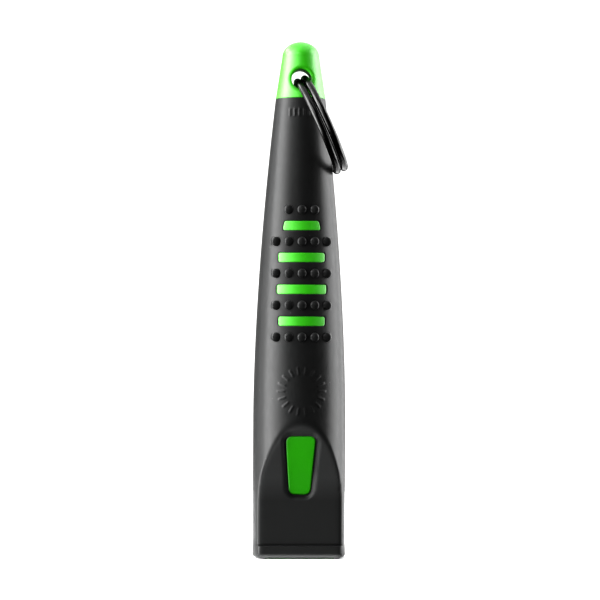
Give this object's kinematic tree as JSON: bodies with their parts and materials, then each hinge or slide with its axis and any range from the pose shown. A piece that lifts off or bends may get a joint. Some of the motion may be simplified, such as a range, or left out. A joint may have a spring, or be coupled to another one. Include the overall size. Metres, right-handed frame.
{
  "type": "dog whistle with split ring",
  "caption": "Pealess training whistle: green rigid core in a black soft ribbed grip, flat mouthpiece, and a swinging split ring in its tip.",
  "frame": {"origin": "centre of the flat mouth end, where the core's end face lies", "axes": "+Z along the whistle from the mouth end to the lanyard tip, -Y out of the grip's front with the closed panel, +Y out of the sound window, +X towards the flank that the ring rests on"},
  "size_m": [0.0155, 0.0172, 0.085],
  "materials": {
    "core": "bright green moulded rigid plastic, satin gloss",
    "grip": "black soft overmoulded rubber, fine matt grain",
    "ring": "black nickel plated spring steel wire"
  },
  "bodies": {
    "whistle": {"core_front": "core", "core_rear": "core", "windway_block": "core", "chamber_stopper": "core", "grip_sleeve": "grip"},
    "ring": {"split_ring": "ring"}
  },
  "joints": [
    {"name": "ring_swing", "type": "hinge", "parent": "whistle", "child": "ring", "pos_m": [0, 0, 0.0787], "axis": [0, -1, 0], "range_deg": [0, 311]}
  ]
}
